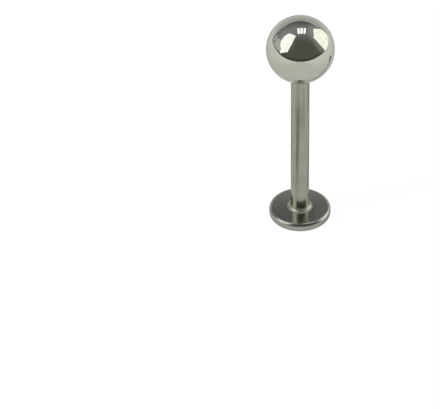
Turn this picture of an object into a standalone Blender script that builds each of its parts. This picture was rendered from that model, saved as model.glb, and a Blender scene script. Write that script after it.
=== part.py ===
"""Labret stud, in metres, +Z up: a disc back and bar in one piece, and the ball that screws on to it.

The origin is the centre of the disc's flat underside, which the stud stands on, and +Z runs up the bar
to the ball. Both pieces are turned about that axis, and their threads are pressed into the turned walls.
"""

import math

import bmesh
import bpy

MM = 0.001

# Disc back
DISC_DIAMETER = 5.5 * MM
DISC_THICKNESS = 0.85 * MM
DISC_TOP_ROUND = 0.32 * MM
DISC_BOTTOM_ROUND = 0.28 * MM

# Bar, 14 gauge, with its length taken from the disc's top face to the shoulder
BAR_DIAMETER = 1.63 * MM
BAR_LENGTH = 15.0 * MM
FOOT_FILLET = 0.34 * MM
SHOULDER_CHAMFER = 0.07 * MM

# Thread on the end of the bar, measured up from the shoulder
NECK_LENGTH = 0.15 * MM
NECK_CONE = 0.08 * MM
THREAD_DIAMETER = 1.44 * MM
THREAD_LENGTH = 1.75 * MM
THREAD_PITCH = 0.35 * MM
THREAD_DEPTH = 0.13 * MM
TIP_HEIGHT = 0.45 * MM

# Ball, with the shoulder let into it by SEAT_DEPTH
BALL_DIAMETER = 6.0 * MM
SEAT_DEPTH = 0.35 * MM
MOUTH_CHAMFER = 0.1 * MM

# Clearances between the two pieces
SEAT_SIDE_GAP = 0.04 * MM
SEAT_END_GAP = 0.04 * MM
THREAD_GAP = 0.05 * MM
TIP_GAP = 0.3 * MM

# Facets
SIDES = 36
ROUND_STEPS = 4
FILLET_STEPS = 5
BALL_STEPS = 18
RINGS_PER_PITCH = 8
SHARP_ANGLE = math.radians(35)
MERGE_DISTANCE = 0.001 * MM

# The drill's point at the end of the ball's hole, and how many turns each end of a thread runs out over
DRILL_POINT_ANGLE = math.radians(118)
RUN_OUT_TURNS = 0.5

# The most of the disc's thickness, and of the ledge round the bar, that rounded corners may take
MOST_ROUNDED = 0.95

# Worked out from the sizes above
DISC_RADIUS = DISC_DIAMETER / 2
BAR_RADIUS = BAR_DIAMETER / 2
THREAD_RADIUS = THREAD_DIAMETER / 2
CORE_RADIUS = THREAD_RADIUS - THREAD_DEPTH
BALL_RADIUS = BALL_DIAMETER / 2
SHOULDER_Z = DISC_THICKNESS + BAR_LENGTH
THREAD_START_Z = SHOULDER_Z + NECK_LENGTH
THREAD_END_Z = THREAD_START_Z + THREAD_LENGTH
TIP_Z = THREAD_END_Z + TIP_HEIGHT
SEAT_RADIUS = BAR_RADIUS + SEAT_SIDE_GAP
SEAT_Z = SHOULDER_Z + SEAT_END_GAP
BORE_RADIUS = THREAD_RADIUS + THREAD_GAP
BORE_END_Z = TIP_Z + TIP_GAP
MOUTH_RADIUS = SEAT_RADIUS + MOUTH_CHAMFER
MOUTH_Z = SHOULDER_Z - SEAT_DEPTH
BALL_CENTRE_Z = MOUTH_Z + math.sqrt(BALL_RADIUS**2 - MOUTH_RADIUS**2)


def clear_scene():
    """Remove every object of the startup scene."""
    for thing in list(bpy.data.objects):
        bpy.data.objects.remove(thing, do_unlink=True)


def steel(name, colour, roughness):
    """A Principled material for polished surgical steel."""
    material = bpy.data.materials.new(name)
    material.use_nodes = True
    shader = material.node_tree.nodes["Principled BSDF"]
    shader.inputs["Base Color"].default_value = (*colour, 1.0)
    shader.inputs["Metallic"].default_value = 1.0
    shader.inputs["Roughness"].default_value = roughness
    return material


def arc(centre, radii, start, end, steps):
    """(radius, z) points round part of an ellipse, both ends included; angles in degrees from +radius."""
    points = []
    for i in range(steps + 1):
        angle = math.radians(start + (end - start) * i / steps)
        points.append((centre[0] + radii[0] * math.cos(angle), centre[1] + radii[1] * math.sin(angle)))
    return points


def thread_rings(radius):
    """(radius, z) points up a plain wall that is to be threaded, THREAD_START_Z to THREAD_END_Z."""
    count = max(2, round(RINGS_PER_PITCH * THREAD_LENGTH / THREAD_PITCH))
    return [(radius, THREAD_START_Z + THREAD_LENGTH * i / count) for i in range(count + 1)]


def groove_share(height, angle):
    """How deep the bar's thread is cut here: 0 on the crest and at its ends, 1 at the root."""
    turn = (height - THREAD_START_Z) / THREAD_PITCH - angle / math.tau
    wave = 0.5 - 0.5 * math.cos(math.tau * turn)
    from_end = min(height - THREAD_START_Z, THREAD_END_Z - height)
    return wave * min(1.0, max(0.0, from_end / (RUN_OUT_TURNS * THREAD_PITCH)))


def ridge_share(height, angle):
    """How deep the ball's thread is cut here: its grooves face the crests of the bar's thread."""
    return groove_share(height, angle + math.pi)


def post_profile():
    """Outline of the disc, bar and tip, from the middle of the underside up to the tip."""
    rounding = min(1.0, MOST_ROUNDED * DISC_THICKNESS / (DISC_TOP_ROUND + DISC_BOTTOM_ROUND))
    bottom_round = DISC_BOTTOM_ROUND * rounding
    top_round = DISC_TOP_ROUND * rounding
    fillet = min(FOOT_FILLET, MOST_ROUNDED * (DISC_RADIUS - top_round - BAR_RADIUS))
    profile = [(0.0, 0.0)]
    profile += arc((DISC_RADIUS - bottom_round, bottom_round), (bottom_round,) * 2, -90, 0, ROUND_STEPS)
    profile += arc(
        (DISC_RADIUS - top_round, DISC_THICKNESS - top_round), (top_round,) * 2, 0, 90, ROUND_STEPS
    )
    profile += arc((BAR_RADIUS + fillet, DISC_THICKNESS + fillet), (fillet,) * 2, -90, -180, FILLET_STEPS)
    profile += [
        (BAR_RADIUS, SHOULDER_Z - SHOULDER_CHAMFER),
        (BAR_RADIUS - SHOULDER_CHAMFER, SHOULDER_Z),
        (CORE_RADIUS, SHOULDER_Z),
        (CORE_RADIUS, THREAD_START_Z - NECK_CONE),
    ]
    profile += thread_rings(THREAD_RADIUS)
    tip = arc((0.0, THREAD_END_Z), (THREAD_RADIUS, TIP_HEIGHT), 0, 90, ROUND_STEPS)
    profile += tip[1:-1]
    profile.append((0.0, TIP_Z))
    return profile


def ball_profile():
    """Outline of the ball, from its crown down the outside and up through the seat and the hole."""
    mouth_angle = math.degrees(math.asin(MOUTH_RADIUS / BALL_RADIUS)) - 90
    outside = arc((0.0, BALL_CENTRE_Z), (BALL_RADIUS,) * 2, 90, mouth_angle, BALL_STEPS)
    profile = [(0.0, BALL_CENTRE_Z + BALL_RADIUS)]
    profile += outside[1:]
    profile += [
        (SEAT_RADIUS, MOUTH_Z + MOUTH_CHAMFER),
        (SEAT_RADIUS, SEAT_Z),
        (BORE_RADIUS, SEAT_Z),
    ]
    profile += thread_rings(BORE_RADIUS)
    profile += [
        (BORE_RADIUS, BORE_END_Z),
        (0.0, BORE_END_Z + BORE_RADIUS / math.tan(DRILL_POINT_ANGLE / 2)),
    ]
    return profile


def press_thread(vertex, wall_radius, depth_share, depth):
    """Move a vertex of a plain wall in or out along its own radius, to the thread's form."""
    flat = math.hypot(vertex.co.x, vertex.co.y)
    on_wall = abs(flat - wall_radius) < MERGE_DISTANCE
    if not on_wall or not THREAD_START_Z <= vertex.co.z <= THREAD_END_Z:
        return
    share = depth_share(vertex.co.z, math.atan2(vertex.co.y, vertex.co.x))
    grown = (flat + depth * share) / flat
    vertex.co.x *= grown
    vertex.co.y *= grown


def turned(name, profile, wall_radius, depth_share, depth, origin_z, material):
    """A solid turned from a profile about Z, with a thread pressed into one wall, as a new object."""
    shape = bmesh.new()
    corners = [shape.verts.new((radius, 0.0, height)) for radius, height in profile]
    edges = [shape.edges.new(pair) for pair in zip(corners, corners[1:])]
    bmesh.ops.spin(
        shape,
        geom=corners + edges,
        cent=(0.0, 0.0, 0.0),
        axis=(0.0, 0.0, 1.0),
        angle=math.tau,
        steps=SIDES,
        use_merge=True,
    )
    bmesh.ops.remove_doubles(shape, verts=shape.verts, dist=MERGE_DISTANCE)
    for vertex in shape.verts:
        press_thread(vertex, wall_radius, depth_share, depth)
        vertex.co.z -= origin_z
    bmesh.ops.recalc_face_normals(shape, faces=shape.faces)
    mesh = bpy.data.meshes.new(name)
    shape.to_mesh(mesh)
    shape.free()
    mesh.shade_smooth()
    mesh.set_sharp_from_angle(angle=SHARP_ANGLE)
    mesh.materials.append(material)
    piece = bpy.data.objects.new(name, mesh)
    piece.location.z = origin_z
    bpy.context.scene.collection.objects.link(piece)
    return piece


def build():
    """Make the two pieces, the ball's origin at its centre on the axis that it comes off along."""
    clear_scene()
    post_steel = steel("post_steel", (0.48, 0.49, 0.44), 0.16)
    ball_steel = steel("ball_steel", (0.50, 0.51, 0.47), 0.05)
    post = turned(
        "flat_back_post", post_profile(), THREAD_RADIUS, groove_share, -THREAD_DEPTH, 0.0, post_steel
    )
    ball = turned(
        "screw_ball", ball_profile(), BORE_RADIUS, ridge_share, THREAD_DEPTH, BALL_CENTRE_Z, ball_steel
    )
    ball.parent = post


build()
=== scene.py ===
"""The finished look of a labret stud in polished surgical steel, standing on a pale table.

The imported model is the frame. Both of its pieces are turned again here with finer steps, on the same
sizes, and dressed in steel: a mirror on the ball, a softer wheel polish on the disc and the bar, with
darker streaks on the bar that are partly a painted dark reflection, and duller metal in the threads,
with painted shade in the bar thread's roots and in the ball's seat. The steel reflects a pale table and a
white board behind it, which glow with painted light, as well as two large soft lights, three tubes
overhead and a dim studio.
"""

import logging
import math
from collections.abc import Sequence
from dataclasses import dataclass, field
from enum import Enum, IntEnum

import bmesh
import bpy
from mathutils import Matrix, Vector


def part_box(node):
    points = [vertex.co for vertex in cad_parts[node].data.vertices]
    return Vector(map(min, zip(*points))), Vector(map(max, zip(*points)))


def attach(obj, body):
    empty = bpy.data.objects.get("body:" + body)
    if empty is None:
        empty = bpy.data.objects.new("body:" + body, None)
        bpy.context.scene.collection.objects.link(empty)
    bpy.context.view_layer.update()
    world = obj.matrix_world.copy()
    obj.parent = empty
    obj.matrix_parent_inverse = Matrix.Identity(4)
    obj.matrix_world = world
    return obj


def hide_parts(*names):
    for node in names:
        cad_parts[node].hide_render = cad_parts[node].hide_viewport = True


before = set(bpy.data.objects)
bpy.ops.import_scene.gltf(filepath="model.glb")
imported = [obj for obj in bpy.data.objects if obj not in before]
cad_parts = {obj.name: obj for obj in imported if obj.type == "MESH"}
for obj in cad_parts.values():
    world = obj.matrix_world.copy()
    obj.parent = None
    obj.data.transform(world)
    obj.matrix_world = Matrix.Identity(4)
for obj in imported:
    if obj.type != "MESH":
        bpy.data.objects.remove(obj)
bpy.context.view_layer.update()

LOG = logging.getLogger("labret_stud")

MM = 0.001
MICRON = 0.000001

# How finely the two pieces are turned
SIDES = 144
MERGE_DISTANCE = 0.2 * MICRON
SHARP_ANGLE = math.radians(32)

# Clouds in the cloth of the large lights: how many per metre, how fine, and the noise that they span
CLOTH_CLOUDS = 4.0
CLOTH_DETAIL = 3.0
CLOTH_SPAN = (0.35, 0.65)

UP = Vector((0.0, 0.0, 1.0))
TURNING_AXIS = (0.0, 0.0, 1.0)
PROFILE_AXIS = (0.0, -1.0, 0.0)

Colour = tuple[float, float, float]
Angles = tuple[float, float, float]
Span = tuple[float, float]
Corners = tuple[tuple[float, float], ...]
Tree = bpy.types.NodeTree
Node = bpy.types.Node
Socket = bpy.types.NodeSocket
Material = bpy.types.Material
Shape = bmesh.types.BMesh


class ThreadSide(Enum):
    """Which way a thread is cut into its wall, as a sign along the wall's own radius."""

    OUTSIDE_OF_BAR = -1
    INSIDE_OF_HOLE = 1


class Lay(Enum):
    """Which way a tool left its fine lines, as the pattern's stretch round, up and out from the axis."""

    ROUND_THE_AXIS = (2.0, 1.0, 1.0)
    ALONG_THE_AXIS = (60.0, 0.004, 0.0)
    ALL_WAYS = (40.0, 0.7, 0.7)


class PostZone(IntEnum):
    """The zones of the post, in the order of its finishes."""

    DISC = 0
    FOOT = 1
    BAR = 2
    THREAD = 3


class BallZone(IntEnum):
    """The zones of the ball, in the order of its finishes."""

    OUTSIDE = 0
    HOLE = 1


# Shader node helpers


def add_node(tree: Tree, kind: str, **settings: object) -> Node:
    """Add a node to a tree.

    Args:
        tree: The node tree of a material, a world or a group.
        kind: The node's type, such as ShaderNodeMath.
        settings: Properties to set on it.

    Returns:
        The new node.
    """
    node = tree.nodes.new(kind)
    for name, value in settings.items():
        setattr(node, name, value)
    return node


def feed(tree: Tree, node: Node, **inputs: object) -> Node:
    """Fill a node's inputs, each from another node's output or with a plain value.

    Args:
        tree: The tree that holds the node.
        node: The node to fill.
        inputs: Values by input name, with an underscore for each space. A name that ends in a number
            after a double underscore is the input's index, as in at__0.

    Returns:
        The same node.
    """
    for name, value in inputs.items():
        key: int | str = int(name.split("__")[1]) if "__" in name else name.replace("_", " ")
        if isinstance(value, Socket):
            tree.links.new(value, node.inputs[key])
        else:
            node.inputs[key].default_value = value
    return node


def wired(tree: Tree, kind: str, **inputs: object) -> Node:
    """Add a node as it comes and fill its inputs."""
    return feed(tree, add_node(tree, kind), **inputs)


def vector_math(tree: Tree, operation: str, **inputs: object) -> Node:
    """Add a Vector Math node and fill its inputs."""
    return feed(tree, add_node(tree, "ShaderNodeVectorMath", operation=operation), **inputs)


def math_node(tree: Tree, operation: str, *values: object) -> Socket:
    """Add a Math node.

    Args:
        tree: The tree to work in.
        operation: What it works out, such as MULTIPLY.
        values: Sockets or plain numbers for its inputs, in order.

    Returns:
        The result's socket.
    """
    node = add_node(tree, "ShaderNodeMath", operation=operation)
    feed(tree, node, **{f"at__{i}": value for i, value in enumerate(values)})
    return node.outputs[0]


def spread(
    tree: Tree, value: Socket, source: tuple[object, object], target: tuple[object, object] = (0.0, 1.0)
) -> Socket:
    """Map a value from one range to another, smoothly and held at both ends.

    Args:
        tree: The tree to work in.
        value: What is mapped.
        source: The range that it comes in.
        target: The range that it leaves in.

    Returns:
        The mapped value's socket.
    """
    node = add_node(tree, "ShaderNodeMapRange", interpolation_type="SMOOTHSTEP", clamp=True)
    feed(tree, node, Value=value, From_Min=source[0], From_Max=source[1])
    feed(tree, node, To_Min=target[0], To_Max=target[1])
    return node.outputs[0]


def blend(tree: Tree, mask: Socket, low: object, high: object) -> Socket:
    """Mix two colours by a mask.

    Args:
        tree: The tree to work in.
        mask: The mask's socket.
        low: The colour where the mask is 0, as a socket or three numbers.
        high: The colour where the mask is 1.

    Returns:
        The mixed colour's socket.
    """
    node = add_node(tree, "ShaderNodeMix", data_type="RGBA")
    tree.links.new(mask, node.inputs["Factor"])
    for slot, value in (("A", low), ("B", high)):
        socket = next(s for s in node.inputs if s.name == slot and s.type == "RGBA")
        if isinstance(value, Socket):
            tree.links.new(value, socket)
        else:
            socket.default_value = (*value, 1.0)
    return next(s for s in node.outputs if s.type == "RGBA")


def effect(tree: Tree, group: Tree, **inputs: object) -> Socket:
    """The one output of a shared group, placed in a material with its own inputs."""
    node = add_node(tree, "ShaderNodeGroup", node_tree=group)
    return feed(tree, node, **inputs).outputs[0]


def split_place(tree: Tree, place: Socket) -> tuple[Socket, Socket]:
    """Take a place apart.

    Args:
        tree: The tree to work in.
        place: The place's socket.

    Returns:
        Its height, and the place with its height taken off.
    """
    parts = wired(tree, "ShaderNodeSeparateXYZ", Vector=place).outputs
    flat = wired(tree, "ShaderNodeCombineXYZ", X=parts["X"], Y=parts["Y"])
    return parts["Z"], flat.outputs[0]


def empty_material(name: str) -> Material:
    """Add a material with no nodes in it yet.

    Args:
        name: The material's name.

    Returns:
        The new material.
    """
    material = bpy.data.materials.new(name)
    material.use_nodes = True
    material.node_tree.nodes.clear()
    return material


def new_object(name: str, data: bpy.types.ID) -> bpy.types.Object:
    """Add an object to the scene, at its origin.

    Args:
        name: The object's name.
        data: Its mesh, camera or light.

    Returns:
        The new object.
    """
    thing = bpy.data.objects.new(name, data)
    bpy.context.scene.collection.objects.link(thing)
    return thing


@dataclass
class SteelEffects:
    """The shader node groups that the steel finishes share, each built once."""

    mark_detail: float = 2.0
    mark_grain: float = 0.55
    haze_detail: float = 4.0
    haze_distortion: float = 0.6
    haze_span: Span = (0.42, 0.68)
    scratch_turns: tuple[Angles, ...] = ((0.3, 0.2, 0.5), (1.1, -0.4, 1.9), (-0.6, 0.9, -1.2))
    scratch_stretch: Angles = (1.0, 0.06, 1.0)
    scratch_width: float = 0.012
    break_size: float = 0.3
    break_span: Span = (0.52, 0.64)
    noise_middle: float = 0.5
    marks: Tree = field(init=False)
    haze: Tree = field(init=False)
    scratches: Tree = field(init=False)
    radius: Tree = field(init=False)

    def __post_init__(self) -> None:
        """Build every group."""
        self.marks = self._tool_marks()
        self.haze = self._haze()
        self.scratches = self._scratches()
        self.radius = self._radius_band()

    @staticmethod
    def _new_group(
        name: str, numbers: Sequence[str], output: str
    ) -> tuple[Tree, bpy.types.NodeOutputs, bpy.types.NodeInputs]:
        """An empty group that takes a place and some numbers and puts out one number.

        Args:
            name: The group's name.
            numbers: Names of its number inputs, which come after the place.
            output: Its output's name.

        Returns:
            The group, the sockets that it takes in and the socket that it gives out.
        """
        group = bpy.data.node_groups.new(name, "ShaderNodeTree")
        group.interface.new_socket("Vector", in_out="INPUT", socket_type="NodeSocketVector")
        for label in numbers:
            group.interface.new_socket(label, in_out="INPUT", socket_type="NodeSocketFloat")
        group.interface.new_socket(output, in_out="OUTPUT", socket_type="NodeSocketFloat")
        taken = add_node(group, "NodeGroupInput").outputs
        return group, taken, add_node(group, "NodeGroupOutput").inputs

    def _tool_marks(self) -> Tree:
        """Fine lines left by a tool, stretched round the axis or along it.

        Returns:
            The group, which puts out the lines' height.
        """
        group, taken, given = self._new_group("tool marks", ("Round", "Up", "Out", "Shift"), "Height")
        height, flat = split_place(group, taken["Vector"])
        way = vector_math(group, "NORMALIZE", at__0=flat).outputs[0]
        out = vector_math(group, "LENGTH", at__0=flat).outputs["Value"]
        around = vector_math(group, "SCALE", at__0=way, Scale=taken["Round"]).outputs[0]
        ways = wired(group, "ShaderNodeSeparateXYZ", Vector=around).outputs
        up = math_node(group, "MULTIPLY", height, taken["Up"])
        place = wired(group, "ShaderNodeCombineXYZ", X=ways["X"], Y=ways["Y"], Z=up).outputs[0]
        depth = math_node(group, "MULTIPLY_ADD", out, taken["Out"], taken["Shift"])
        noise = add_node(group, "ShaderNodeTexNoise", noise_dimensions="4D")
        feed(group, noise, Vector=place, W=depth, Scale=1.0, Detail=self.mark_detail)
        feed(group, noise, Roughness=self.mark_grain)
        group.links.new(noise.outputs[0], given["Height"])
        return group

    def _haze(self) -> Tree:
        """Soft clouds where handling and the polishing wheel dulled the metal a little.

        Returns:
            The group, which puts out the clouds' mask.
        """
        group, taken, given = self._new_group("handling haze", ("Scale",), "Mask")
        noise = wired(group, "ShaderNodeTexNoise", Vector=taken["Vector"], Scale=taken["Scale"])
        feed(group, noise, Detail=self.haze_detail, Distortion=self.haze_distortion)
        group.links.new(spread(group, noise.outputs[0], self.haze_span), given["Mask"])
        return group

    def _scratches(self) -> Tree:
        """Hairline scratches in three directions, broken up into short lengths.

        Returns:
            The group, which puts out the scratches' mask.
        """
        group, taken, given = self._new_group("hairline scratches", ("Scale",), "Mask")
        lines = []
        for turn in self.scratch_turns:
            mapped = wired(group, "ShaderNodeMapping", Vector=taken["Vector"], Rotation=turn)
            feed(group, mapped, Scale=self.scratch_stretch)
            noise = wired(group, "ShaderNodeTexNoise", Vector=mapped.outputs[0], Scale=taken["Scale"])
            feed(group, noise, Detail=0.0)
            off_middle = math_node(group, "SUBTRACT", noise.outputs[0], self.noise_middle)
            from_middle = math_node(group, "ABSOLUTE", off_middle)
            lines.append(spread(group, from_middle, (self.scratch_width, 0.0)))
        every_line = lines[0]
        for line in lines[1:]:
            every_line = math_node(group, "MAXIMUM", every_line, line)
        wide = math_node(group, "MULTIPLY", taken["Scale"], self.break_size)
        breaks = wired(group, "ShaderNodeTexNoise", Vector=taken["Vector"], Scale=wide)
        kept = spread(group, breaks.outputs[0], self.break_span)
        group.links.new(math_node(group, "MULTIPLY", every_line, kept), given["Mask"])
        return group

    def _radius_band(self) -> Tree:
        """A mask that rises from one distance from the axis to another.

        Returns:
            The group, which puts out the mask.
        """
        group, taken, given = self._new_group("distance from axis", ("None Until", "Full From"), "Mask")
        flat = split_place(group, taken["Vector"])[1]
        out = vector_math(group, "LENGTH", at__0=flat).outputs["Value"]
        mask = spread(group, out, (taken["None Until"], taken["Full From"]))
        group.links.new(mask, given["Mask"])
        return group


@dataclass(frozen=True)
class ToolMarks:
    """Fine lines that a tool leaves in the metal."""

    lay: Lay
    spacing: float
    height: float

    def scales(self) -> dict[str, float]:
        """The marks group's inputs that stretch the pattern."""
        round_share, up_share, out_share = self.lay.value
        return {"Round": round_share, "Up": up_share / self.spacing, "Out": out_share / self.spacing}


@dataclass(frozen=True)
class StreaksAndReflection:
    """Soft darker streaks that run up the bar, partly where the drawing die and the wheel left it uneven
    and partly a painted dark reflection.

    They fade towards the foot, between two heights.
    """

    per_radian: float
    length: float
    tint: Colour
    roughness: float
    shift: float
    pattern_span: Span = (0.46, 0.66)
    fade: Span = (2.5 * MM, 8.0 * MM)
    left_at_foot: float = 0.25


@dataclass(frozen=True)
class PaintedShadeBand:
    """Painted shade: darker, duller metal on one side of a distance from the axis."""

    none_at: float
    full_at: float
    tint: Colour
    roughness: float


@dataclass(frozen=True)
class SteelFinish:
    """One finish of surgical steel: its colour, how sharp a mirror it is, and the marks in it."""

    name: str
    tint: Colour
    hazed_tint: Colour
    roughness: float
    hazed_roughness: float
    marks: ToolMarks
    haze_size: float = 2.0 * MM
    scratch_size: float = 0.25 * MM
    scratch_roughness: float = 0.12
    edge_tint: float = 0.8
    streaks: StreaksAndReflection | None = None
    painted_shade: PaintedShadeBand | None = None

    def material(self, effects: SteelEffects) -> Material:
        """Build the finish as a Principled material.

        Args:
            effects: The node groups that every finish shares.

        Returns:
            The new material.
        """
        material = bpy.data.materials.new(self.name)
        material.use_nodes = True
        tree = material.node_tree
        shader = tree.nodes["Principled BSDF"]
        shader.inputs["Metallic"].default_value = 1.0
        shader.inputs["Specular Tint"].default_value = (*[self.edge_tint] * 3, 1.0)
        place = add_node(tree, "ShaderNodeTexCoord").outputs["Object"]
        haze = effect(tree, effects.haze, Vector=place, Scale=1.0 / self.haze_size)
        scratches = effect(tree, effects.scratches, Vector=place, Scale=1.0 / self.scratch_size)
        marks = effect(tree, effects.marks, Vector=place, **self.marks.scales())
        colour = blend(tree, haze, self.tint, self.hazed_tint)
        clouded = spread(tree, haze, (0.0, 1.0), (self.roughness, self.hazed_roughness))
        scratched = spread(tree, scratches, (0.0, 1.0), (0.0, self.scratch_roughness))
        roughness = math_node(tree, "ADD", clouded, scratched)
        if self.streaks:
            # The streaks darken the bar, partly as uneven polish and partly as a painted dark reflection.
            streaks = self._streaks_and_reflection(tree, effects, place)
            colour = blend(tree, streaks, colour, self.streaks.tint)
            rougher = spread(tree, streaks, (0.0, 1.0), (0.0, self.streaks.roughness))
            roughness = math_node(tree, "ADD", roughness, rougher)
        # Painted shade: a band of darker, duller metal in a recess.
        if self.painted_shade:
            ends = {"None_Until": self.painted_shade.none_at, "Full_From": self.painted_shade.full_at}
            band = effect(tree, effects.radius, Vector=place, **ends)
            colour = blend(tree, band, colour, self.painted_shade.tint)
            rougher = spread(tree, band, (0.0, 1.0), (0.0, self.painted_shade.roughness))
            roughness = math_node(tree, "ADD", roughness, rougher)
        bump = add_node(tree, "ShaderNodeBump")
        feed(tree, bump, Height=marks, Distance=self.marks.height, Strength=1.0)
        feed(tree, shader, Base_Color=colour, Roughness=roughness, Normal=bump.outputs["Normal"])
        return material

    def _streaks_and_reflection(self, tree: Tree, effects: SteelEffects, place: Socket) -> Socket:
        """Draw the soft streaks, partly a painted dark reflection, with the marks group, at a much wider
        spacing.

        Args:
            tree: The material's tree.
            effects: The shared node groups.
            place: The place on the piece.

        Returns:
            The streaks' mask.
        """
        streaks = self.streaks
        wide = {"Round": streaks.per_radian, "Up": 1.0 / streaks.length, "Out": 0.0}
        pattern = effect(tree, effects.marks, Vector=place, Shift=streaks.shift, **wide)
        mask = spread(tree, pattern, streaks.pattern_span)
        height = wired(tree, "ShaderNodeSeparateXYZ", Vector=place).outputs["Z"]
        kept = spread(tree, height, streaks.fade, (streaks.left_at_foot, 1.0))
        return math_node(tree, "MULTIPLY", mask, kept)


@dataclass(frozen=True)
class Thread:
    """The fine right-hand thread that the bar's end and the ball's hole share."""

    start_z: float
    length: float
    pitch: float = 0.35 * MM
    depth: float = 0.13 * MM
    run_out_turns: float = 0.5
    crest_share: float = 0.14
    root_share: float = 0.2
    rings_per_pitch: int = 20

    @property
    def end_z(self) -> float:
        """Height where the thread ends."""
        return self.start_z + self.length

    @property
    def rings(self) -> int:
        """How many cuts the plain wall gets, so that the thread's form shows."""
        return round(self.rings_per_pitch * self.length / self.pitch)

    def depth_at(self, height: float, angle: float) -> float:
        """How deep the thread is cut at a place on its wall.

        Args:
            height: The place's z.
            angle: The place's angle about the axis.

        Returns:
            The depth in metres: none on a crest and at the thread's two ends.
        """
        turn = (height - self.start_z) / self.pitch - angle / math.tau
        from_crest = abs(turn - round(turn))
        flank = (from_crest - self.crest_share / 2) / (0.5 - self.crest_share / 2 - self.root_share / 2)
        share = min(1.0, max(0.0, flank))
        rounded = share * share * (3.0 - 2.0 * share)
        from_end = min(height - self.start_z, self.end_z - height)
        return self.depth * rounded * min(1.0, max(0.0, from_end / (self.run_out_turns * self.pitch)))

    def press(self, shape: Shape, wall_radius: float, side: ThreadSide) -> None:
        """Press the thread into a plain round wall.

        Args:
            shape: The turned piece.
            wall_radius: The wall's distance from the axis.
            side: Which way the thread is cut. The hole's grooves face the bar's crests.
        """
        lead = 0.0 if side is ThreadSide.OUTSIDE_OF_BAR else math.pi
        for vertex in shape.verts:
            flat = math.hypot(vertex.co.x, vertex.co.y)
            if abs(flat - wall_radius) > MERGE_DISTANCE or not self.start_z <= vertex.co.z <= self.end_z:
                continue
            depth = self.depth_at(vertex.co.z, math.atan2(vertex.co.y, vertex.co.x) + lead)
            grown = 1.0 + side.value * depth / flat
            vertex.co.x *= grown
            vertex.co.y *= grown


class Outline:
    """The half outline of a turned piece, drawn in the XZ plane from its start on the axis."""

    def __init__(self, shape: Shape, radius: float, height: float) -> None:
        """Start the outline at one point.

        Args:
            shape: The shape that it is drawn into.
            radius: The point's distance from the axis.
            height: The point's z.
        """
        self.shape = shape
        self.last = shape.verts.new((radius, 0.0, height))

    def line_to(self, radius: float, height: float) -> bmesh.types.BMVert:
        """Draw a straight run to a point.

        Args:
            radius: The point's distance from the axis.
            height: The point's z.

        Returns:
            The point.
        """
        point = self.shape.verts.new((radius, 0.0, height))
        self.shape.edges.new((self.last, point))
        self.last = point
        return point

    def cut_line_to(self, radius: float, height: float, cuts: int) -> None:
        """Draw a straight run to a point and cut it into many short ones.

        Args:
            radius: The point's distance from the axis.
            height: The point's z.
            cuts: How many points stand between the run's two ends.
        """
        start = self.last.co.copy()
        end = Vector((radius, 0.0, height))
        for i in range(cuts):
            point = start.lerp(end, (i + 1) / (cuts + 1))
            self.line_to(point.x, point.z)
        self.line_to(radius, height)

    def arc_about(self, radius: float, height: float, angle: float, steps: int) -> None:
        """Swing the last point about a centre.

        Args:
            radius: The centre's distance from the axis.
            height: The centre's z.
            angle: How far to swing, in radians. A positive angle turns from the axis's top outwards.
            steps: How many short runs the arc has.
        """
        centre = (radius, 0.0, height)
        swung = bmesh.ops.spin(
            self.shape, geom=[self.last], cent=centre, axis=PROFILE_AXIS, angle=-angle, steps=steps
        )
        self.last = next(e for e in swung["geom_last"] if isinstance(e, bmesh.types.BMVert))

    def round_off(self, corner: bmesh.types.BMVert, size: float, segments: int) -> None:
        """Round a corner of the outline.

        Args:
            corner: The corner's point.
            size: The distance from the corner where the rounding starts.
            segments: How many short runs the rounding has.
        """
        bmesh.ops.bevel(
            self.shape,
            geom=[corner],
            offset=size,
            offset_type="OFFSET",
            segments=segments,
            profile=0.5,
            affect="VERTICES",
            material=-1,
        )


@dataclass
class TurnedPiece:
    """A piece turned about Z, with a thread, that stands for one node of the frame."""

    node: str
    body: str
    slot: str
    name: str
    finishes: list[Material]
    low: Vector = field(init=False)
    high: Vector = field(init=False)

    def __post_init__(self) -> None:
        """Take the piece's reach from the frame."""
        self.low, self.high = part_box(self.node)

    def draw(self, shape: Shape) -> None:
        """Draw the half outline into a new shape."""
        raise NotImplementedError

    def zone(self, radius: float, height: float) -> IntEnum:
        """Which of the finishes a face takes, from the place of its middle."""
        raise NotImplementedError

    def cut_thread(self, shape: Shape) -> None:
        """Press the thread into its wall."""
        raise NotImplementedError

    def build(self) -> None:
        """Turn the outline, cut the thread, dress the faces and hand the piece to the frame."""
        shape = bmesh.new()
        self.draw(shape)
        drawn = shape.verts[:] + shape.edges[:]
        bmesh.ops.spin(shape, geom=drawn, axis=TURNING_AXIS, angle=math.tau, steps=SIDES, use_merge=True)
        bmesh.ops.remove_doubles(shape, verts=shape.verts, dist=MERGE_DISTANCE)
        self.cut_thread(shape)
        bmesh.ops.recalc_face_normals(shape, faces=shape.faces)
        for face in shape.faces:
            middle = face.calc_center_median()
            face.material_index = self.zone(math.hypot(middle.x, middle.y), middle.z)
        piece = self._as_object(shape)
        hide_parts(self.node)
        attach(piece, self.body)
        LOG.info("%s: %d faces, rides on %s", piece.name, len(piece.data.polygons), self.body)

    def _as_object(self, shape: Shape) -> bpy.types.Object:
        """Put the shape into the scene as a smooth object with its materials.

        Args:
            shape: The turned piece, which is used up.

        Returns:
            The new object.
        """
        mesh = bpy.data.meshes.new(self.name)
        for finish in self.finishes:
            mesh.materials.append(finish)
        shape.to_mesh(mesh)
        shape.free()
        mesh.shade_smooth()
        mesh.set_sharp_from_angle(angle=SHARP_ANGLE)
        return new_object(self.name, mesh)


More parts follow.
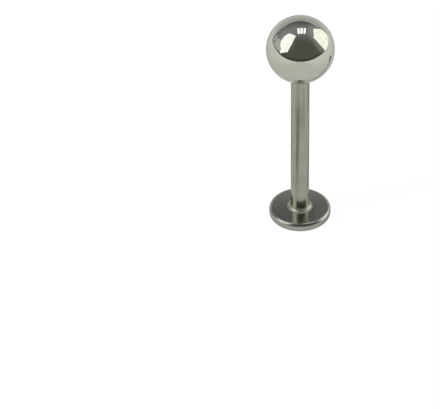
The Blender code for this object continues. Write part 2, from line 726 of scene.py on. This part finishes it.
@dataclass
class FlatBackPost(TurnedPiece):
    """The disc back, the bar and its threaded, domed end, which are one piece of steel."""

    disc_thickness: float = 0.85 * MM
    disc_top_round: float = 0.32 * MM
    disc_bottom_round: float = 0.28 * MM
    bar_radius: float = 0.815 * MM
    foot_fillet: float = 0.34 * MM
    shoulder_z: float = 15.85 * MM
    shoulder_chamfer: float = 0.07 * MM
    neck_length: float = 0.15 * MM
    neck_cone: float = 0.08 * MM
    thread_radius: float = 0.72 * MM
    tip_height: float = 0.45 * MM
    round_steps: int = 10
    fillet_steps: int = 14
    chamfer_steps: int = 3

    @property
    def thread(self) -> Thread:
        """The bar's thread, from above the neck to under the domed tip."""
        start = self.shoulder_z + self.neck_length
        return Thread(start, self.high.z - self.tip_height - start)

    def draw(self, shape: Shape) -> None:
        """Draw the outline from the middle of the disc's underside up to the tip.

        Args:
            shape: The new, empty shape.
        """
        thread = self.thread
        core_radius = self.thread_radius - thread.depth
        outline = Outline(shape, 0.0, self.low.z)
        disc_bottom = outline.line_to(self.high.x, self.low.z)
        disc_top = outline.line_to(self.high.x, self.disc_thickness)
        foot = outline.line_to(self.bar_radius, self.disc_thickness)
        shoulder = outline.line_to(self.bar_radius, self.shoulder_z)
        outline.line_to(core_radius, self.shoulder_z)
        outline.line_to(core_radius, thread.start_z - self.neck_cone)
        outline.line_to(self.thread_radius, thread.start_z)
        outline.cut_line_to(self.thread_radius, thread.end_z, thread.rings)
        self._draw_tip(outline)
        outline.round_off(disc_bottom, self.disc_bottom_round, self.round_steps)
        outline.round_off(disc_top, self.disc_top_round, self.round_steps)
        outline.round_off(foot, self.foot_fillet, self.fillet_steps)
        outline.round_off(shoulder, self.shoulder_chamfer, self.chamfer_steps)

    def _draw_tip(self, outline: Outline) -> None:
        """Swing a quarter circle from the thread's end to the axis and flatten it to the tip's height.

        Args:
            outline: The outline, drawn up to the thread's end.
        """
        top = self.thread.end_z
        before = set(outline.shape.verts)
        outline.arc_about(0.0, top, -math.pi / 2, self.round_steps)
        swung = [v for v in outline.shape.verts if v not in before]
        flatten = Vector((1.0, 1.0, self.tip_height / self.thread_radius))
        to_centre = Matrix.Translation((0.0, 0.0, -top))
        bmesh.ops.scale(outline.shape, vec=flatten, space=to_centre, verts=swung)
        outline.last.co.x = 0.0

    def zone(self, radius: float, height: float) -> PostZone:
        """Which finish a face takes.

        Args:
            radius: The face's distance from the axis.
            height: Its z.

        Returns:
            The zone that it is in.
        """
        if height <= self.disc_thickness or radius > self.bar_radius + self.foot_fillet:
            return PostZone.DISC
        if height < self.disc_thickness + self.foot_fillet:
            return PostZone.FOOT
        return PostZone.BAR if height < self.shoulder_z - MERGE_DISTANCE else PostZone.THREAD

    def cut_thread(self, shape: Shape) -> None:
        """Cut the thread inwards from the bar's end."""
        self.thread.press(shape, self.thread_radius, ThreadSide.OUTSIDE_OF_BAR)


@dataclass
class ScrewBall(TurnedPiece):
    """The ball, with its seat for the bar's shoulder and its blind threaded hole."""

    post: FlatBackPost | None = None
    mouth_chamfer: float = 0.1 * MM
    seat_side_gap: float = 0.04 * MM
    seat_end_gap: float = 0.04 * MM
    thread_gap: float = 0.05 * MM
    tip_gap: float = 0.3 * MM
    drill_point_angle: float = math.radians(118)
    mouth_round: float = 0.02 * MM
    outside_steps: int = 80
    mouth_steps: int = 3

    @property
    def radius(self) -> float:
        """The ball's own radius."""
        return (self.high.x - self.low.x) / 2

    @property
    def centre_z(self) -> float:
        """Height of the ball's centre."""
        return self.high.z - self.radius

    @property
    def seat_radius(self) -> float:
        """Radius of the seat round the bar's shoulder."""
        return self.post.bar_radius + self.seat_side_gap

    @property
    def bore_radius(self) -> float:
        """Radius of the hole between its thread's grooves."""
        return self.post.thread_radius + self.thread_gap

    def draw(self, shape: Shape) -> None:
        """Draw the outline from the crown down the outside and up through the seat and the hole.

        Args:
            shape: The new, empty shape.
        """
        thread = self.post.thread
        mouth_radius = self.seat_radius + self.mouth_chamfer
        mouth_angle = math.pi - math.asin(mouth_radius / self.radius)
        seat_z = self.post.shoulder_z + self.seat_end_gap
        bore_end_z = self.post.high.z + self.tip_gap
        outline = Outline(shape, 0.0, self.high.z)
        outline.arc_about(0.0, self.centre_z, mouth_angle, self.outside_steps)
        mouth = outline.last
        lip = outline.line_to(self.seat_radius, self.low.z + self.mouth_chamfer)
        outline.line_to(self.seat_radius, seat_z)
        outline.line_to(self.bore_radius, seat_z)
        outline.line_to(self.bore_radius, thread.start_z)
        outline.cut_line_to(self.bore_radius, thread.end_z, thread.rings)
        outline.line_to(self.bore_radius, bore_end_z)
        outline.line_to(0.0, bore_end_z + self.bore_radius / math.tan(self.drill_point_angle / 2))
        outline.round_off(mouth, self.mouth_round, self.mouth_steps)
        outline.round_off(lip, self.mouth_round, self.mouth_steps)

    def zone(self, radius: float, height: float) -> BallZone:
        """The polished outside, or the seat and hole."""
        from_centre = math.hypot(radius, height - self.centre_z)
        return BallZone.OUTSIDE if from_centre > self.radius - self.mouth_round else BallZone.HOLE

    def cut_thread(self, shape: Shape) -> None:
        """Cut the thread outwards from the hole."""
        self.post.thread.press(shape, self.bore_radius, ThreadSide.INSIDE_OF_HOLE)


@dataclass(frozen=True)
class Bearing:
    """A direction in degrees: the azimuth from the front towards the right, and the elevation."""

    azimuth: float
    elevation: float

    def ahead(self) -> Vector:
        """The unit vector that points this way."""
        across, up = math.radians(self.azimuth), math.radians(self.elevation)
        return Vector((math.sin(across) * math.cos(up), -math.cos(across) * math.cos(up), math.sin(up)))


@dataclass(frozen=True)
class Panel:
    """A flat bright panel that faces the stud from out of the picture.

    The corners are shares of the distance, to the right and up as the stud sees them.
    """

    name: str
    bearing: Bearing
    distance: float
    radiance: Colour
    corners: Corners
    unevenness: float = 0.0

    def build(self, seen_from: Vector) -> None:
        """Make the panel as a glowing mesh.

        Args:
            seen_from: The point that its directions are counted from.
        """
        ahead = self.bearing.ahead()
        right = ahead.cross(UP).normalized()
        up = right.cross(ahead)
        shape = bmesh.new()
        for x, y in self.corners:
            shape.verts.new(seen_from + self.distance * (ahead + x * right + y * up))
        bmesh.ops.contextual_create(shape, geom=shape.verts)
        cloth = glow(self.name, self.radiance, self.unevenness)
        stage_object(self.name, shape, cloth, seen=False)


def glow(name: str, radiance: Colour, unevenness: float = 0.0) -> Material:
    """A material that only gives light, more in some places than in others.

    Args:
        name: The material's name.
        radiance: Its mean light.
        unevenness: How far the light's strength goes up and down, as a share.

    Returns:
        The new material.
    """
    material = empty_material(name)
    tree = material.node_tree
    place = add_node(tree, "ShaderNodeTexCoord").outputs["Object"]
    clouds = wired(tree, "ShaderNodeTexNoise", Vector=place, Scale=CLOTH_CLOUDS, Detail=CLOTH_DETAIL)
    level = spread(tree, clouds.outputs[0], CLOTH_SPAN, (1.0 - unevenness, 1.0 + unevenness))
    light = wired(tree, "ShaderNodeEmission", Color=(*radiance, 1.0), Strength=level)
    wired(tree, "ShaderNodeOutputMaterial", Surface=light.outputs[0])
    return material


def stage_object(name: str, shape: Shape, material: Material, seen: bool) -> None:
    """Put a mesh into the scene as stage.

    Args:
        name: Name of the object and its mesh.
        shape: The mesh, which is used up.
        material: What it is made of.
        seen: Whether the camera sees it, or only the steel does and the key light shines through it.
    """
    mesh = bpy.data.meshes.new(name)
    shape.to_mesh(mesh)
    shape.free()
    mesh.materials.append(material)
    thing = new_object(name, mesh)
    thing.visible_camera = seen
    thing.visible_shadow = seen


@dataclass(frozen=True)
class PhotoCamera:
    """The camera, from the photograph's viewing angle."""

    elevation: float = math.radians(37.95)
    roll: float = math.radians(-0.178)
    distance: float = 350 * MM
    picture: tuple[int, int] = (440, 409)
    target_pixel: tuple[float, float] = (300.1, 130.7)
    pixels_per_mm: float = 11.324
    sensor_width: float = 36.0
    clip: Span = (0.01, 10.0)

    def place(self, target: Vector) -> None:
        """Add the camera so that the target lands on its pixel, and look through it.

        Args:
            target: The point on the stud that is looked at.
        """
        focal_pixels = self.pixels_per_mm / MM * self.distance
        width, height = self.picture
        back = Vector((0.0, -math.cos(self.elevation), math.sin(self.elevation)))
        right = Vector((1.0, 0.0, 0.0))
        level = Matrix((right, back.cross(right), back))
        off_x = (self.target_pixel[0] - width / 2) / focal_pixels
        off_y = (height / 2 - self.target_pixel[1]) / focal_pixels
        off_middle = Vector((off_x, off_y, -1.0))
        aim = (-UP).rotation_difference(off_middle).to_matrix()
        turned = (aim @ Matrix.Rotation(self.roll, 3, "Z") @ level).transposed()
        data = bpy.data.cameras.new("photo_camera")
        data.sensor_width = self.sensor_width
        data.lens = focal_pixels / width * self.sensor_width
        data.clip_start, data.clip_end = self.clip
        camera = new_object("photo_camera", data)
        camera.matrix_world = Matrix.Translation(target + back * self.distance) @ turned.to_4x4()
        bpy.context.scene.camera = camera


@dataclass(frozen=True)
class KeyLight:
    """The small bright light from the left, which only lights the table and throws the stud's shadow."""

    bearing: Bearing = Bearing(-69.5, 31.4)
    strength: float = 10.2
    width: float = math.radians(0.8)

    def place(self) -> None:
        """Add the light, which shines from its bearing towards the stud."""
        data = bpy.data.lights.new("key_light", "SUN")
        data.energy = self.strength
        data.angle = self.width
        lamp = new_object("key_light", data)
        lamp.rotation_mode = "QUATERNION"
        lamp.rotation_quaternion = UP.rotation_difference(self.bearing.ahead())
        lamp.visible_glossy = False


@dataclass(frozen=True)
class Table:
    """The pale table top. The camera sees it evenly white, and the steel sees the stud's shadow on it.

    What the steel sees of it is given close to the stud and away from it. Close to the stud its paper is
    darker and its painted glow stronger, which paints the stud's shadow lighter there, and its painted
    glow rises towards both sides.
    """

    left: float = -1200 * MM
    right: float = 335 * MM
    front: float = -205 * MM
    back: float = 330 * MM
    drop: float = 0.01 * MM
    painted_glow_to_steel: Span = (0.42, 0.015)
    albedo_to_steel: Span = (0.11, 0.3)
    glow_to_camera: float = 0.975
    albedo_to_camera: float = 0.015
    away: Span = (3 * MM, 8 * MM)
    painted_side_glow: float = 0.13
    side: Span = (12 * MM, 60 * MM)

    def build(self) -> None:
        """Build the table top."""
        shape = bmesh.new()
        bmesh.ops.create_grid(shape, x_segments=1, y_segments=1, size=0.5)
        size = (self.right - self.left, self.back - self.front, 1.0)
        middle = ((self.right + self.left) / 2, (self.back + self.front) / 2, -self.drop)
        bmesh.ops.scale(shape, vec=size, verts=shape.verts)
        bmesh.ops.translate(shape, vec=middle, verts=shape.verts)
        stage_object("table", shape, self._material(), seen=True)

    def _material(self) -> Material:
        """Matt white that also glows with painted light, clear from below.

        Returns:
            The new material.
        """
        material = empty_material("table_white")
        tree = material.node_tree
        by_camera = add_node(tree, "ShaderNodeLightPath").outputs["Is Camera Ray"]
        place = add_node(tree, "ShaderNodeTexCoord").outputs["Object"]
        out = vector_math(tree, "LENGTH", at__0=place)
        parts = wired(tree, "ShaderNodeSeparateXYZ", Vector=place)
        across = math_node(tree, "ABSOLUTE", parts.outputs["X"])
        # Painted light: near the stud the table glows more and its paper is darker, which paints the
        # stud's shadow lighter there.
        away = spread(tree, out.outputs["Value"], self.away)
        near = spread(tree, away, (0.0, 1.0), self.painted_glow_to_steel)
        # Painted light: the table glows more towards both sides.
        side = spread(tree, across, self.side, (0.0, self.painted_side_glow))
        painted_glows = math_node(tree, "ADD", near, side)
        shown = add_node(tree, "ShaderNodeMix", data_type="FLOAT")
        feed(tree, shown, Factor=by_camera, A=painted_glows, B=self.glow_to_camera)
        # The paper's darker tone near the stud goes with the painted glow there.
        near_paper, far_paper = self.albedo_to_steel
        shadow_lightening_paper_tone = blend(tree, away, (near_paper,) * 3, (far_paper,) * 3)
        colour = blend(tree, by_camera, shadow_lightening_paper_tone, (self.albedo_to_camera,) * 3)
        paper = wired(tree, "ShaderNodeBsdfDiffuse", Color=colour)
        light = wired(tree, "ShaderNodeEmission", Strength=shown.outputs[0])
        both = wired(tree, "ShaderNodeAddShader", at__0=paper.outputs[0], at__1=light.outputs[0])
        clear = add_node(tree, "ShaderNodeBsdfTransparent")
        below = add_node(tree, "ShaderNodeNewGeometry").outputs["Backfacing"]
        sided = add_node(tree, "ShaderNodeMixShader")
        feed(tree, sided, at__0=below, at__1=both.outputs[0], at__2=clear.outputs[0])
        wired(tree, "ShaderNodeOutputMaterial", Surface=sided.outputs[0])
        return material


@dataclass(frozen=True)
class Board:
    """The white board at the back of the table, a sheet of painted light that dims towards its slanting
    top edge.
    """

    distance: float = 330 * MM
    outline: Corners = ((-530 * MM, 0.0), (340 * MM, 0.0), (257 * MM, 219 * MM), (-290 * MM, 262 * MM))
    trim: Corners = ((60 * MM, 200 * MM), (262 * MM, 187 * MM), (257 * MM, 219 * MM), (60 * MM, 234 * MM))
    trim_proud: float = 1 * MM
    brightness: Span = (0.65, 0.45)
    dimming: Span = (20 * MM, 240 * MM)
    trim_glow: float = 0.73

    def build(self) -> None:
        """Build the board and the bright trim along the right half of its top edge, both of painted
        light.
        """
        self._sheet("board", self.outline, self.distance, self._material())
        bright = glow("trim", (self.trim_glow,) * 3)
        self._sheet("board_trim", self.trim, self.distance - self.trim_proud, bright)

    @staticmethod
    def _sheet(name: str, outline: Corners, y: float, material: Material) -> None:
        """Build a flat upright sheet, which the camera doesn't see.

        Args:
            name: The sheet's name.
            outline: Its corners, as x and z.
            y: Where it stands.
            material: What it is made of.
        """
        shape = bmesh.new()
        for x, z in outline:
            shape.verts.new((x, y, z))
        bmesh.ops.contextual_create(shape, geom=shape.verts)
        stage_object(name, shape, material, seen=False)

    def _material(self) -> Material:
        """White painted light that dims with height.

        Returns:
            The new material.
        """
        material = glow("board_white", (1.0, 1.0, 1.0))
        tree = material.node_tree
        place = add_node(tree, "ShaderNodeTexCoord").outputs["Object"]
        height = wired(tree, "ShaderNodeSeparateXYZ", Vector=place).outputs["Z"]
        # Painted light, dimmer towards the board's top.
        level = spread(tree, height, self.dimming, self.brightness)
        light = next(node for node in tree.nodes if node.bl_idname == "ShaderNodeEmission")
        feed(tree, light, Strength=level)
        return material


@dataclass(frozen=True)
class Halo:
    """Light that spills on the room round a large light."""

    bearing: Bearing
    full_within: float
    none_beyond: float
    gain: float


@dataclass(frozen=True)
class Room:
    """The dim studio all round, which the camera itself sees as a plain pale backdrop."""

    tone_low: Colour = (0.98, 1.0, 0.92)
    tone_high: Colour = (0.97, 1.0, 1.08)
    front: float = 0.118
    overhead: float = 0.28
    behind: float = 0.12
    rise: Span = (-0.5, 0.2)
    fall: Span = (0.35, 0.85)
    horizon_share: float = 0.58
    horizon_height: float = 0.12
    backdrop: Colour = (0.985, 0.985, 0.985)
    halos: tuple[Halo, ...] = (
        Halo(Bearing(-74.5, 40.9), full_within=24.0, none_beyond=42.0, gain=0.04),
        Halo(Bearing(110.0, 20.0), full_within=32.0, none_beyond=50.0, gain=0.107),
    )

    def build(self) -> bpy.types.World:
        """Build the world.

        Returns:
            The world: dark in front, lighter overhead and darker again at the back and low down.
        """
        world = bpy.data.worlds.new("studio_room")
        world.use_nodes = True
        tree = world.node_tree
        tree.nodes.clear()
        way = add_node(tree, "ShaderNodeTexCoord").outputs["Generated"]
        parts = wired(tree, "ShaderNodeSeparateXYZ", Vector=way)
        rise = spread(tree, parts.outputs["Y"], self.rise, (self.front, self.overhead))
        fall = spread(tree, parts.outputs["Y"], self.fall, (0.0, self.overhead - self.behind))
        low = spread(tree, parts.outputs["Z"], (0.0, self.horizon_height), (self.horizon_share, 1.0))
        level = math_node(tree, "SUBTRACT", rise, fall)
        for halo in self.halos:
            level = math_node(tree, "ADD", level, self._halo(tree, way, halo))
        level = math_node(tree, "MULTIPLY", level, low)
        bluer = spread(tree, parts.outputs["Y"], self.rise)
        colour = blend(tree, bluer, self.tone_low, self.tone_high)
        room = wired(tree, "ShaderNodeBackground", Color=colour, Strength=level)
        plain = wired(tree, "ShaderNodeBackground", Color=(*self.backdrop, 1.0), Strength=1.0)
        by_camera = add_node(tree, "ShaderNodeLightPath").outputs["Is Camera Ray"]
        both = add_node(tree, "ShaderNodeMixShader")
        feed(tree, both, at__0=by_camera, at__1=room.outputs[0], at__2=plain.outputs[0])
        wired(tree, "ShaderNodeOutputWorld", Surface=both.outputs[0])
        return world

    @staticmethod
    def _halo(tree: Tree, way: Socket, halo: Halo) -> Socket:
        """How much a halo adds in each direction.

        Args:
            tree: The world's tree.
            way: The direction that is looked in.
            halo: The halo.

        Returns:
            What it adds to the room's level.
        """
        towards = vector_math(tree, "DOT_PRODUCT", at__0=way, at__1=halo.bearing.ahead())
        ends = (math.cos(math.radians(halo.none_beyond)), math.cos(math.radians(halo.full_within)))
        return spread(tree, towards.outputs["Value"], ends, (0.0, halo.gain))


@dataclass(frozen=True)
class Studio:
    """All that stands round the stud: the table, the board, the room and the lights."""

    left_at: Bearing = Bearing(-74.5, 40.9)
    left_light: Colour = (1.64, 1.66, 1.66)
    left_corners: Corners = (
        (-0.12, -0.81),
        (0.26, -0.21),
        (0.33, 0.04),
        (0.32, 0.35),
        (0.05, 0.59),
        (-0.25, 0.13),
        (-0.40, -0.50),
    )
    left_side_corners: Corners = (
        (-0.41, -0.49),
        (-0.26, 0.125),
        (0.04, 0.60),
        (-0.08, 0.66),
        (-0.39, 0.17),
        (-0.54, -0.38),
    )
    left_unevenness: float = 0.12
    right_at: Bearing = Bearing(115.3, 17.7)
    right_light: Colour = (1.5, 1.47, 1.45)
    right_corners: Corners = (
        (-0.34, -0.42),
        (0.56, -0.38),
        (0.60, 0.17),
        (0.42, 0.70),
        (-0.23, 0.54),
        (-0.35, 0.04),
    )
    right_unevenness: float = 0.1
    fill_at: Bearing = Bearing(-90.0, 13.0)
    fill_light: Colour = (0.58, 0.58, 0.58)
    fill_corners: Corners = ((-0.32, -0.17), (0.33, -0.21), (0.33, 0.10), (0.12, 0.27), (-0.32, 0.27))
    kicker_at: Bearing = Bearing(-116.0, 8.9)
    kicker_light: Colour = (0.87, 0.87, 0.84)
    kicker_corners: Corners = ((-0.06, -0.12), (0.03, -0.10), (0.07, 0.12), (-0.02, 0.12))
    tubes_at: Bearing = Bearing(164.7, 78.0)
    tube_light: Colour = (3.4, 3.4, 3.7)
    tube_spacing: float = 0.14
    tube_width: float = 0.072
    tube_length: float = 0.35
    tube_lean: Span = (0.3, -0.38)
    panel_distance: float = 1500 * MM
    fill_distance: float = 1600 * MM

    def build(self, eye: Vector) -> None:
        """Build the stage.

        Args:
            eye: The ball's centre, which the panels' directions are counted from.
        """
        scene = bpy.context.scene
        scene.view_settings.view_transform = "Standard"
        Table().build()
        Board().build()
        for panel in (*self._lights(), *self._tubes()):
            panel.build(eye)
            LOG.info("stage panel %s", panel.name)
        KeyLight().place()
        scene.world = Room().build()

    def _lights(self) -> tuple[Panel, ...]:
        """The two large lights, the fill at the left and a small kicker.

        Returns:
            Their panels. The left light has two, side by side.
        """
        near, far = self.panel_distance, self.fill_distance
        left = (self.left_at, near, self.left_light)
        right = (self.right_at, near, self.right_light)
        return (
            Panel("left_light", *left, self.left_corners, self.left_unevenness),
            Panel("left_light_side", *left, self.left_side_corners, self.left_unevenness),
            Panel("right_light", *right, self.right_corners, self.right_unevenness),
            Panel("left_fill", self.fill_at, far, self.fill_light, self.fill_corners),
            Panel("left_kicker", self.kicker_at, near, self.kicker_light, self.kicker_corners),
        )

    def _tubes(self) -> tuple[Panel, ...]:
        """The three tubes of the overhead light, side by side.

        Returns:
            One leaning panel for each tube.
        """
        lean_x, lean_y = self.tube_lean
        half_width, half_length = self.tube_width / 2, self.tube_length / 2
        tubes = []
        for number, place in enumerate((-1, 0, 1), start=1):
            across = place * self.tube_spacing
            square = (
                (across - half_width, -half_length),
                (across + half_width, -half_length),
                (across + half_width, half_length),
                (across - half_width, half_length),
            )
            leaning = tuple((x + lean_x * y, y + lean_y * x) for x, y in square)
            name = f"tube_{number}"
            tubes.append(Panel(name, self.tubes_at, self.panel_distance, self.tube_light, leaning))
        return tuple(tubes)


# Finishes

DISC_STEEL = SteelFinish(
    name="disc_steel",
    tint=(0.43, 0.452, 0.385),
    hazed_tint=(0.40, 0.422, 0.355),
    roughness=0.2,
    hazed_roughness=0.27,
    marks=ToolMarks(Lay.ROUND_THE_AXIS, 45 * MICRON, 0.12 * MICRON),
    scratch_roughness=0.06,
)
FOOT_STEEL = SteelFinish(
    name="foot_steel",
    tint=(0.54, 0.55, 0.485),
    hazed_tint=(0.50, 0.51, 0.445),
    roughness=0.42,
    hazed_roughness=0.48,
    marks=ToolMarks(Lay.ROUND_THE_AXIS, 45 * MICRON, 0.4 * MICRON),
    scratch_roughness=0.04,
)
BAR_STEEL = SteelFinish(
    name="bar_steel",
    tint=(0.443, 0.446, 0.362),
    hazed_tint=(0.41, 0.412, 0.328),
    roughness=0.2,
    hazed_roughness=0.26,
    marks=ToolMarks(Lay.ALONG_THE_AXIS, 40 * MICRON, 0.3 * MICRON),
    scratch_roughness=0.05,
    # The streaks are partly uneven polish and partly a painted dark reflection.
    streaks=StreaksAndReflection(
        per_radian=2.6,
        length=9.0 * MM,
        tint=(0.23, 0.225, 0.155),
        roughness=0.05,
        shift=14.7,
    ),
)
THREAD_STEEL = SteelFinish(
    name="thread_steel",
    tint=(0.55, 0.55, 0.47),
    hazed_tint=(0.465, 0.465, 0.375),
    roughness=0.16,
    hazed_roughness=0.28,
    marks=ToolMarks(Lay.ROUND_THE_AXIS, 25 * MICRON, 0.3 * MICRON),
    # Painted shade closer to the axis than the thread's crests: its roots, the neck and the top of the
    # tip.
    painted_shade=PaintedShadeBand(none_at=0.68 * MM, full_at=0.59 * MM, tint=(0.15, 0.15, 0.12), roughness=0.2),
)
BALL_STEEL = SteelFinish(
    name="ball_steel",
    tint=(0.61, 0.625, 0.535),
    hazed_tint=(0.58, 0.595, 0.505),
    roughness=0.02,
    hazed_roughness=0.05,
    marks=ToolMarks(Lay.ALL_WAYS, 120 * MICRON, 0.03 * MICRON),
)
HOLE_STEEL = SteelFinish(
    name="hole_steel",
    tint=(0.48, 0.48, 0.42),
    hazed_tint=(0.375, 0.375, 0.315),
    roughness=0.24,
    hazed_roughness=0.35,
    marks=ToolMarks(Lay.ROUND_THE_AXIS, 25 * MICRON, 0.4 * MICRON),
    # Painted shade in the seat and the mouth of the hole, where the ball meets the bar.
    painted_shade=PaintedShadeBand(none_at=0.80 * MM, full_at=0.90 * MM, tint=(0.18, 0.18, 0.15), roughness=0.1),
)


def main() -> None:
    """Build the stud, the stage and the camera."""
    logging.basicConfig(level=logging.INFO, format="%(name)s: %(message)s")
    effects = SteelEffects()
    post = FlatBackPost(
        node="flat_back_post",
        body="post",
        slot="post_steel",
        name="flat_back_post_polished",
        finishes=[steel.material(effects) for steel in (DISC_STEEL, FOOT_STEEL, BAR_STEEL, THREAD_STEEL)],
    )
    post.build()
    ball = ScrewBall(
        node="screw_ball",
        body="ball",
        slot="ball_steel",
        name="screw_ball_polished",
        finishes=[steel.material(effects) for steel in (BALL_STEEL, HOLE_STEEL)],
        post=post,
    )
    ball.build()
    Studio().build(Vector((0.0, 0.0, ball.centre_z)))
    middle = (ball.centre_z + post.disc_thickness / 2) / 2
    PhotoCamera().place(Vector((0.0, 0.0, middle)))


if __name__ == "__main__":
    main()
